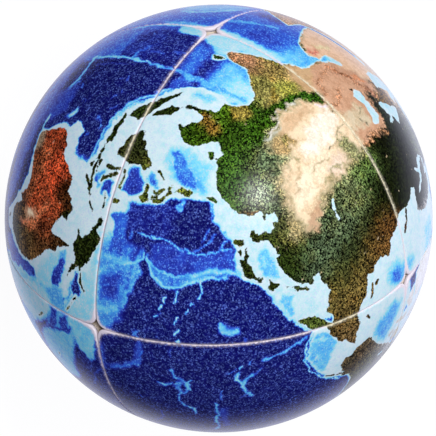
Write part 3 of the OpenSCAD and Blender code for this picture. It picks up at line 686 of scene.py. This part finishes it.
# laid over in turn: a band's width (0 for an area), its fade, its colour and its places
GROUND_OVER = [
    (0, 2.2, "#d2a482", [48, 41, 54, 39, 56, 45, 54, 49, 62, 50.2, 72, 50, 76, 51, 76, 36, 74, 31, 70,
        27.4, 62, 26.4, 56, 29, 50, 33, 46, 38]),
    (0, 2.0, "#eec6a0", [44, 36, 50, 33, 56, 30, 60, 27, 65, 23.5, 60, 18, 50, 14, 44, 16, 40, 28]),
    (0, 3.4, "#a89c74", [75, 52, 84, 52, 100, 51.4, 112, 52, 120, 52, 124, 47, 117, 43, 110, 37, 104, 32,
        98, 30, 92, 29.4, 84, 30.4, 77, 35, 74.5, 42]),
    (0, 2.6, "#f2dab4", [75, 51, 79, 50, 84, 46, 87, 50, 92, 51.6, 98, 49.6, 108, 49, 112, 51.4, 118,
        51.6, 119.5, 48, 116.5, 45, 113.5, 42.5, 110, 39.6, 106, 38, 101, 37.8, 97.5, 34.6, 95, 31.5, 92,
        30.4, 88, 30.2, 84, 31, 80, 33, 76.4, 36.4, 74.5, 42]),
    (0, 2.0, "#fff4e0", [76, 39.6, 79, 42.4, 86, 43.6, 94, 43.4, 98, 41, 97, 38.6, 90, 37.6, 84, 36.6,
        78, 37.2]),
    (0, 1.6, "#fffbe6", [79.6, 41, 86, 42.2, 90, 41, 86, 38.6, 81, 38.4]),
    (0, 2.0, "#fdeccc", [88, 45.6, 97, 47.6, 104, 47.4, 114, 47, 113, 44, 108, 42, 102, 42, 98, 43, 90,
        43.4]),
    (0, 1.6, "#f2dcc4", [87, 49.4, 92, 50.8, 96, 49.6, 94, 47.2, 88, 46.6]),
    (0, 2.0, "#dcba92", [82, 34.6, 88, 35.4, 94, 34.6, 96, 32.6, 92, 31, 86, 31.6, 82, 33]),
    (0, 1.4, "#b09868", [95, 36.6, 100, 37, 102, 34, 98, 31.4, 95.6, 33]),
    (0.6, 1.0, "#7c7844", [96, 34, 99, 36.2]),
    (0.3, 0.8, "#6c7440", [99.4, 39.8, 101.6, 38.6, 104, 38]),
    (0.3, 0.8, "#a08c60", [92, 46, 97, 44.6, 101, 43.6]),
    (0.3, 0.7, "#b89c74", [103, 40.6, 107, 42.6, 112, 43.6]),
    (0, 1.6, "#8c9064", [79, 50.6, 83, 51.4, 86, 48, 85, 45.4, 80, 45]),
    (0.3, 0.7, "#3c4a20", [76, 43.4, 79, 43.2, 81.4, 44, 84, 44.6, 88, 44.2]),
    (0.4, 1.0, "#8c8a58", [89, 50.6, 93, 48.6, 97, 49.6, 101, 48.6]),
    (0, 1.6, "#cda886", [110, 50.4, 114, 51.6, 119, 52.2, 119.4, 49.6, 114, 49]),
    (0, 2.2, "#a0946a", [117, 47, 123, 48.4, 125.6, 46, 121, 44]),
    (0.5, 1.6, "#a87850", [55, 50.4, 61, 49.8, 68, 50.4, 74, 50.6]),
    (0, 2.0, "#d8c6a4", [62, 47, 74, 47, 74, 42, 64, 41]),
    (0.3, 0.8, "#3a4020", [66, 46.4, 67, 44.8]),
    (0.3, 0.7, "#6a6a40", [64, 43.2, 65.4, 42.8]),
    (0.8, 2.4, "#a0603a", [48, 40.6, 52, 38.4, 57, 34, 62, 30.4]),
    (0.8, 1.2, "#e08c58", [50, 36, 54, 34.4]),
    (0.8, 2.4, "#a87450", [66, 36, 72, 38.6, 75, 38]),
    (0.8, 2.4, "#b07c58", [62, 29.4, 70, 31, 73, 34]),
    (1.6, 1.6, "#d8806a", [59.6, 23.4, 62, 22.6]),
    (1.6, 1.8, "#ecdca8", [53, 23, 58, 22.4]),
    (0.3, 0.7, "#24240f", [55.6, 43.6, 56.6, 38.8, 59, 37.2, 62, 37.6]),
    (2.5, 1.2, "#2a480c", [76, 34.8, 78.6, 32.4, 82, 30.2, 85.4, 28.9, 90, 28.1, 96, 28, 101, 27]),
    (0.6, 0.7, "#1e3c0a", [75.9, 35.8, 78, 33.2, 82, 30.6, 85, 29.4]),
    (0.7, 0.8, "#f4e8ee", [76.6, 37.4, 78, 36.6, 79.6, 35.6]),
    (0.24, 0.5, "#f0ece0", [82, 31.4, 84.6, 30.3, 88, 29.7, 92, 29.5, 96, 30.2, 99, 30.1]),
    (0.5, 0.9, "#c8ccbc", [94.6, 31.6, 97.4, 31.2, 99.6, 30]),
    (0, 3.0, "#5a6c4a", [103, 37, 108, 37.6, 110, 32, 104, 30, 101, 32]),
    (0.3, 0.9, "#8a5a34", [121.6, 36.2, 123, 34, 123.2, 32.4]),
    (0.9, 1.0, "#8c7a30", [88, 26.4, 84, 25.2]),
    (0.5, 0.9, "#4a6424", [75.8, 20.6, 77, 16.6, 78.6, 12.6, 80, 9.6]),
    (0.4, 1.0, "#6c7430", [83.6, 12, 83.8, 15.6, 87, 18.4]),
    (1.6, 2.4, "#f0b484", [141.4, -25, 142, -29.4]),
    (0.8, 1.4, "#fff0c8", [141.4, -26.2, 142, -28.8]),
    (1.2, 2.0, "#e8a880", [144.6, -28, 146, -31.4]),
    (0.8, 1.8, "#d8582c", [124, -19.4, 131, -20.6, 136, -19.4]),
    (1.2, 2.6, "#d87c4c", [138.4, -21, 144.6, -24.6, 146, -31]),
    (0.5, 1.6, "#5c2410", [121, -23.4, 126, -22.6]),
    (0.3, 1.0, "#6e2a12", [130, -25.6, 135, -27]),
    (0.3, 1.2, "#c8764c", [138.6, -28.6, 142.6, -24]),
]


def ground(points):
    """Linear ground colours for points of a unit ball."""
    lon, lat = swayed(*degrees_of(points), points, 4.5, 0.6, 11)
    fray = 0.3 * ripple(points, 1.9, 31) + 0.2 * ripple(points, 0.8, 32)
    total = np.full((len(lon), 1), 1e-6)
    colour = np.tile(np.array(linear("#4a5428")) * 1e-6, (len(lon), 1))
    for east, north, reach, code in GROUND:
        side = (lon - east + 180) % 360 - 180
        away = np.hypot(side * np.cos(np.radians(lat)), lat - north) / reach
        weight = (np.exp(-np.minimum(away, 6) ** 2 * 1.5) / reach)[:, None]
        total += weight
        colour += weight * linear(code)
    colour /= total
    for width, fade, code, line in GROUND_OVER:
        away = signed(lon, lat, line, width == 0, fade + width) - width / 2
        torn = fray * (0.4 * fade if width else min(fade, 1.5))
        share = np.clip(0.5 - (away + torn) / fade, 0, 1)[:, None]
        colour += (np.array(linear(code)) - colour) * share * share * (3 - 2 * share)
    return colour


# One helper adds any node, with its settings and links, and gives back one of its outputs.
def node(tree, kind, inputs=(), output=0, **settings):
    made = tree.nodes.new("ShaderNode" + kind)
    for name, value in settings.items():
        setattr(made, name, value)
    for name, value in dict(inputs).items():
        if isinstance(value, bpy.types.NodeSocket):
            tree.links.new(value, made.inputs[name])
        elif isinstance(value, str):
            made.inputs[name].default_value = (*linear(value), 1)
        else:
            made.inputs[name].default_value = value
    return made.outputs[output]


def material(name, code, roughness):
    made = bpy.data.materials.new(name)
    made.use_nodes = True
    made.diffuse_color = (*linear(code), 1)
    shader = made.node_tree.nodes["Principled BSDF"]
    shader.inputs["Base Color"].default_value = (*linear(code), 1)
    shader.inputs["Roughness"].default_value = roughness
    return made, made.node_tree, shader


# Printed leatherette: a polyurethane film over cloth, embossed with a fine grain and printed
# in inks that dry to a shine, which gives a small bright highlight broken by the grain.
# Noises are sized in metres. The real ink dots are too fine to show, so they are drawn
# 0.18 mm apart. Edges and the tips round the pits are rubbed through to the pale film.
printed, tree, shader = material("printed_leatherette", "#24309a", 0.19)
shader.inputs["Specular IOR Level"].default_value = 0.5
space = node(tree, "TexCoord", output="Object")
land, level, rim = [node(tree, "Attribute", output="Fac", attribute_name=word)
                    for word in ("land", "level", "rim")]
earth = node(tree, "Attribute", output="Color", attribute_name="earth")
coast_grit, cloud, swell, rusty, vein, edge_grit, dimple = [
    node(tree, "TexNoise", {"Vector": space, "Scale": 1 / size, "Detail": detail,
                            "Roughness": rough}, "Fac")
    for size, detail, rough in (
        (0.0008, 4, 0.65), (0.003, 6, 0.66), (0.0011, 6, 0.7), (0.0016, 5, 0.7),
        (0.0034, 8, 0.74), (0.0004, 3, 0.5), (0.00028, 2, 0.6))]
dots = node(tree, "TexVoronoi", {"Vector": space, "Scale": 1 / 0.00018}, "Color")
dot = node(tree, "SeparateColor", {"Color": dots}, "Red")
strong_dot = node(tree, "Math", {0: dot, 1: 5.0}, operation="POWER")

# Sea: its level runs along a ramp from navy to pale cyan, moved by swell and by the ink dots
swell = node(tree, "MapRange", {"Value": swell, "From Min": 0.25, "From Max": 0.75,
                                "To Min": -0.12, "To Max": 0.12})
lift = node(tree, "Math", {0: strong_dot, 1: 0.24, 2: -0.03}, operation="MULTIPLY_ADD")
depth = node(tree, "Math", {0: level, 1: swell}, operation="ADD")
depth = node(tree, "Math", {0: depth, 1: lift}, operation="ADD")
ramp = tree.nodes.new("ShaderNodeValToRGB")
tree.links.new(depth, ramp.inputs["Fac"])
stops = [(0.0, "#08085a"), (0.15, "#141678"), (0.3, "#283cb4"), (0.45, "#3064de"),
         (0.6, "#4caef0"), (0.75, "#7cdaf0"), (0.9, "#b2e2e8"), (1.0, "#d8ecee")]
for spot, code in stops[1:-1]:
    ramp.color_ramp.elements.new(spot)
for element, (spot, code) in zip(ramp.color_ramp.elements, stops):
    element.position = spot
    element.color = (*linear(code), 1)
deep = node(tree, "MapRange", {"Value": level, "From Min": 0.1, "From Max": 0.9,
                               "To Min": 0.42, "To Max": 0.26})
glint = node(tree, "Math", {0: strong_dot, 1: deep}, operation="MULTIPLY")
sea = node(tree, "Mix", {0: glint, 6: ramp.outputs["Color"], 7: "#7c9ce8"}, 2, data_type="RGBA")

# Ground: tinted with rust in patches; forest is darkened by ink and cloud, sand is veined
rusted = node(tree, "Mix", {0: 1.0, 6: earth, 7: (1.26, 1.0, 0.8, 1)}, 2, data_type="RGBA",
              blend_type="MULTIPLY")
rusty = node(tree, "MapRange", {"Value": rusty, "From Min": 0.48, "From Max": 0.62,
                                "To Max": 0.7})
rusted = node(tree, "Mix", {0: rusty, 6: earth, 7: rusted}, 2, data_type="RGBA")
cloud = node(tree, "MapRange", {"Value": cloud, "From Min": 0.34, "From Max": 0.66,
                                "To Min": 0.42, "To Max": 1.3})
ink = node(tree, "Math", {0: dot, 1: 2.0}, operation="POWER")
ink = node(tree, "Math", {0: ink, 1: 4.0, 2: 0.02}, operation="MULTIPLY_ADD")
ink = node(tree, "Math", {0: ink, 1: cloud}, operation="MULTIPLY")
ink = node(tree, "CombineColor", {"Red": ink, "Green": ink, "Blue": ink})
dark_soil = node(tree, "Mix", {0: 1.0, 6: rusted, 7: ink}, 2, data_type="RGBA",
                 blend_type="MULTIPLY")
vein = node(tree, "Math", {0: vein, 1: -0.5}, operation="ADD")
vein = node(tree, "Math", {0: vein}, operation="ABSOLUTE")
vein = node(tree, "MapRange", {"Value": vein, "From Max": 0.05, "To Min": 0.42, "To Max": 0.0})
veined = node(tree, "Mix", {0: 1.0, 6: earth, 7: (0.62, 0.46, 0.3, 1)}, 2, data_type="RGBA",
              blend_type="MULTIPLY")
pale_soil = node(tree, "Mix", {0: vein, 6: earth, 7: veined}, 2, data_type="RGBA")
pale = node(tree, "RGBToBW", {"Color": earth})
pale = node(tree, "MapRange", {"Value": pale, "From Min": 0.1, "From Max": 0.42, "To Max": 0.96})
soil = node(tree, "Mix", {0: pale, 6: dark_soil, 7: pale_soil}, 2, data_type="RGBA")

# Coasts frayed by grit, and then the rubbed edges: how far in each starts and ends, its share
shore = node(tree, "MapRange", {"Value": coast_grit, "From Min": 0.3, "From Max": 0.7,
                                "To Min": -0.4, "To Max": 0.4})
shore = node(tree, "Math", {0: land, 1: shore}, operation="ADD")
shore = node(tree, "MapRange", {"Value": shore, "From Min": -0.1, "From Max": 0.12},
             interpolation_type="SMOOTHSTEP")
colour = node(tree, "Mix", {0: shore, 6: sea, 7: soil}, 2, data_type="RGBA")
worn = node(tree, "MapRange", {"Value": edge_grit, "From Min": 0.3, "From Max": 0.7,
                               "To Min": -0.12, "To Max": 0.12})
worn = node(tree, "Math", {0: rim, 1: worn}, operation="ADD")
foam_tint = node(tree, "Mix", {0: shore, 6: "#ece2e8", 7: "#ece4c8"}, 2, data_type="RGBA")
for start, end, share in ((0.24, -0.1, 0.16), (-0.08, -0.26, 0.72), (-0.2, -0.36, 0.9)):
    bare = node(tree, "MapRange", {"Value": worn, "From Min": end, "From Max": start,
                                   "To Min": share, "To Max": 0.0},
                interpolation_type="SMOOTHSTEP")
    colour = node(tree, "Mix", {0: bare, 6: colour, 7: foam_tint}, 2, data_type="RGBA")
tree.links.new(colour, shader.inputs["Base Color"])
grain = node(tree, "Bump", {"Height": dimple, "Strength": 0.34, "Distance": 0.00006})
tree.links.new(grain, shader.inputs["Normal"])

# The north skins run east in quarter turns, and the south ones are the same turned over
NORTH = ["north_asia", "north_pacific", "north_america", "north_africa"]
SOUTH = ["south_asia", "south_pacific", "south_america", "south_africa"]
PLACES = [(name, Matrix.Rotation(np.pi / 2 * turn, 4, "Z")) for turn, name in enumerate(NORTH)]
PLACES += [(name, Matrix.Rotation(np.pi / 2 * (turn + 1), 4, "Z") @ Matrix.Rotation(np.pi, 4, "X"))
           for turn, name in enumerate(SOUTH)]


def finish_piece(piece, node_name, body):
    """Into the scene, on its body, in place of its CAD part, with a mesh of its own."""
    bpy.context.scene.collection.objects.link(piece)
    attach(piece, body)
    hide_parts(node_name)
    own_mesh(piece)
    return piece


skin, rings = panel("skin", 280, BALL, SKIN, EDGE)
rim_values = rim_of(skin, rings)
top = rings < UNDERSIDE
for name, turn in PLACES:
    mesh = skin.copy()
    mesh.transform(turn)
    points = spots_of(mesh)[top]
    points /= np.linalg.norm(points, axis=1, keepdims=True)
    coast, heights = coast_and_sea(points)
    for word, found in {"land": coast, "level": heights, "rim": rim_values[top]}.items():
        whole = np.zeros(len(top), np.float32)
        whole[top] = found
        mesh.attributes.new(word, "FLOAT", "POINT").data.foreach_set("value", whole)
    whole = np.ones((len(top), 4), np.float32)
    whole[top, :3] = ground(points)
    mesh.attributes.new("earth", "FLOAT_COLOR", "POINT").data.foreach_set("color", whole.ravel())
    mesh.attributes.remove(mesh.attributes["ring"])
    mesh.materials.append(printed)
    piece = bpy.data.objects.new(f"printed_{name}", mesh)
    finish_piece(piece, f"skin_{name}", f"{name[:5]}_half")

# The foam panels under the skins: plain cream polyurethane foam, cut and bonded to the core.
# They show only between the skins and as the walls of the corner pits, matt and finely open.
foam, tree, shader = material("cut_foam", "#f4e6d4", 0.8)
space = node(tree, "TexCoord", output="Object")
cells = node(tree, "TexNoise", {"Vector": space, "Scale": 1 / 0.0004, "Detail": 3,
                                "Roughness": 0.6}, "Fac")
cells = node(tree, "Bump", {"Height": cells, "Strength": 0.4, "Distance": 0.00008})
tree.links.new(cells, shader.inputs["Normal"])
BED = 0.0293  # their underside
BOND = 0.00001  # a hair of room under the skin
backing, rings = panel("backing", 110, SKIN - BOND, BED, 0.00005)
for name, turn in PLACES:
    mesh = backing.copy()
    mesh.transform(turn)
    mesh.attributes.remove(mesh.attributes["ring"])
    mesh.materials.append(foam)
    piece = bpy.data.objects.new(f"foam_{name}", mesh)
    finish_piece(piece, f"backing_{name}", f"{name[:5]}_half")

# The core: a moulded foam ball, which the panels are stuck to. It is coloured brown as painted shade,
# standing in for the shadow deep in the pits: it makes the floor of every pit brown, blotched and a
# little smoother than foam.
CORE = 0.02925  # radius, 0.05 mm short of the foam panels
# painted shade: the core's brown stands in for the shadow on the floor of the pits
heart, tree, shader = material("core_foam_painted_shade", "#8a6238", 0.7)
space = node(tree, "TexCoord", output="Object")
pit_shade_mottle = node(tree, "TexNoise", {"Vector": space, "Scale": 1 / 0.0011, "Detail": 4}, "Fac")
pit_shade_mottle = node(tree, "MapRange", {"Value": pit_shade_mottle, "From Min": 0.3, "From Max": 0.7})
# painted shade: two browns, blotched, for the shadowed floor of the pits
pit_shade_mottle = node(tree, "Mix", {0: pit_shade_mottle, 6: "#7a5630", 7: "#a8824e"}, 2, data_type="RGBA")
tree.links.new(pit_shade_mottle, shader.inputs["Base Color"])
bm = bmesh.new()
bmesh.ops.create_icosphere(bm, subdivisions=6, radius=CORE)
mesh = bpy.data.meshes.new("core")
bm.to_mesh(mesh)
bm.free()
mesh.shade_smooth()
mesh.materials.append(heart)
core = finish_piece(bpy.data.objects.new("foam_core_ball", mesh), "foam_core", "south_half")

# The stage: a plain white floor in a white studio. The studio's gloss is held to what is
# straight behind the ball, as in a light tent, so that only its outer edge turns pale.
# side, up and back are the camera's own directions on the ball's axes.
scene = bpy.context.scene
side = Vector((-0.03176, -0.53759, 0.84261))
up = Vector((0.83589, -0.47648, -0.27249))
back = Vector((0.54797, 0.69568, 0.46450))

world = bpy.data.worlds.new("white")
world.use_nodes = True
tree = world.node_tree
shader = tree.nodes["Background"]
around = node(tree, "TexCoord", output="Generated")
seen, gloss = [node(tree, "LightPath", output=f"Is {kind} Ray") for kind in ("Camera", "Glossy")]
# where it points, the cosines it rises between, and the strengths it rises between
glows = []
for way, start, end, low, high in ((-back, -0.55, 0.4, 0.27, 1.02), (-back, 0.55, 0.97, 0.0, 0.95),
                                   (side * 0.8 - back, 0.84, 1.0, 0, 0.5)):
    facing = node(tree, "VectorMath", {0: around, 1: way.normalized()}, "Value",
                  operation="DOT_PRODUCT")
    glows.append(node(tree, "MapRange", {"Value": facing, "From Min": start, "From Max": end,
                                         "To Min": low, "To Max": high},
                      interpolation_type="SMOOTHSTEP"))
shine = node(tree, "Math", {0: glows[1], 1: glows[2]}, operation="ADD")
strength = node(tree, "Mix", {0: gloss, 2: glows[0], 3: shine}, data_type="FLOAT")
strength = node(tree, "Mix", {0: seen, 2: strength, 3: 1.0}, data_type="FLOAT")
tree.links.new(strength, shader.inputs["Strength"])
tint = node(tree, "Mix", {0: seen, 6: "#e6e8ff", 7: "#ffffff"}, 2, data_type="RGBA")
tree.links.new(tint, shader.inputs["Color"])
scene.world = world

LAMP_AWAY = 0.6
for name, size, power, shine in (("key", 0.5, 2.75, False), ("sheen", 0.075, 0.86, True)):
    light = bpy.data.lights.new(name, "AREA")
    light.shape = "DISK"
    light.size = size
    light.energy = power
    lamp = bpy.data.objects.new(name, light)
    lamp.location = (0.333 * side + 0.215 * up + 0.917 * back) * LAMP_AWAY
    lamp.rotation_euler = lamp.location.to_track_quat("Z", "Y").to_euler()
    lamp.visible_glossy = shine
    scene.collection.objects.link(lamp)

paint, tree, shader = material("white_floor", "#484848", 0.9)
shader.inputs["Emission Color"].default_value = (1, 1, 1, 1)
shader.inputs["Emission Strength"].default_value = 0.95
bm = bmesh.new()
bmesh.ops.create_circle(bm, cap_ends=True, segments=96, radius=0.5)
bmesh.ops.translate(bm, verts=bm.verts, vec=(0, 0, -BALL))
mesh = bpy.data.meshes.new("floor")
bm.to_mesh(mesh)
bm.free()
mesh.materials.append(paint)
floor = bpy.data.objects.new("floor", mesh)
floor.visible_diffuse = floor.visible_glossy = False
scene.collection.objects.link(floor)

CAMERA_AWAY = 0.32924
lens = bpy.data.cameras.new("camera")
lens.lens = 183.84
lens.sensor_width = 36
lens.shift_x, lens.shift_y = -0.0014, 0.0011
lens.clip_start = 0.01
camera = bpy.data.objects.new("camera", lens)
rows = Matrix((side, up, back)).transposed()
camera.matrix_world = Matrix.Translation(back * CAMERA_AWAY) @ rows.to_4x4()
scene.collection.objects.link(camera)
scene.camera = camera
scene.view_settings.view_transform = "Standard"
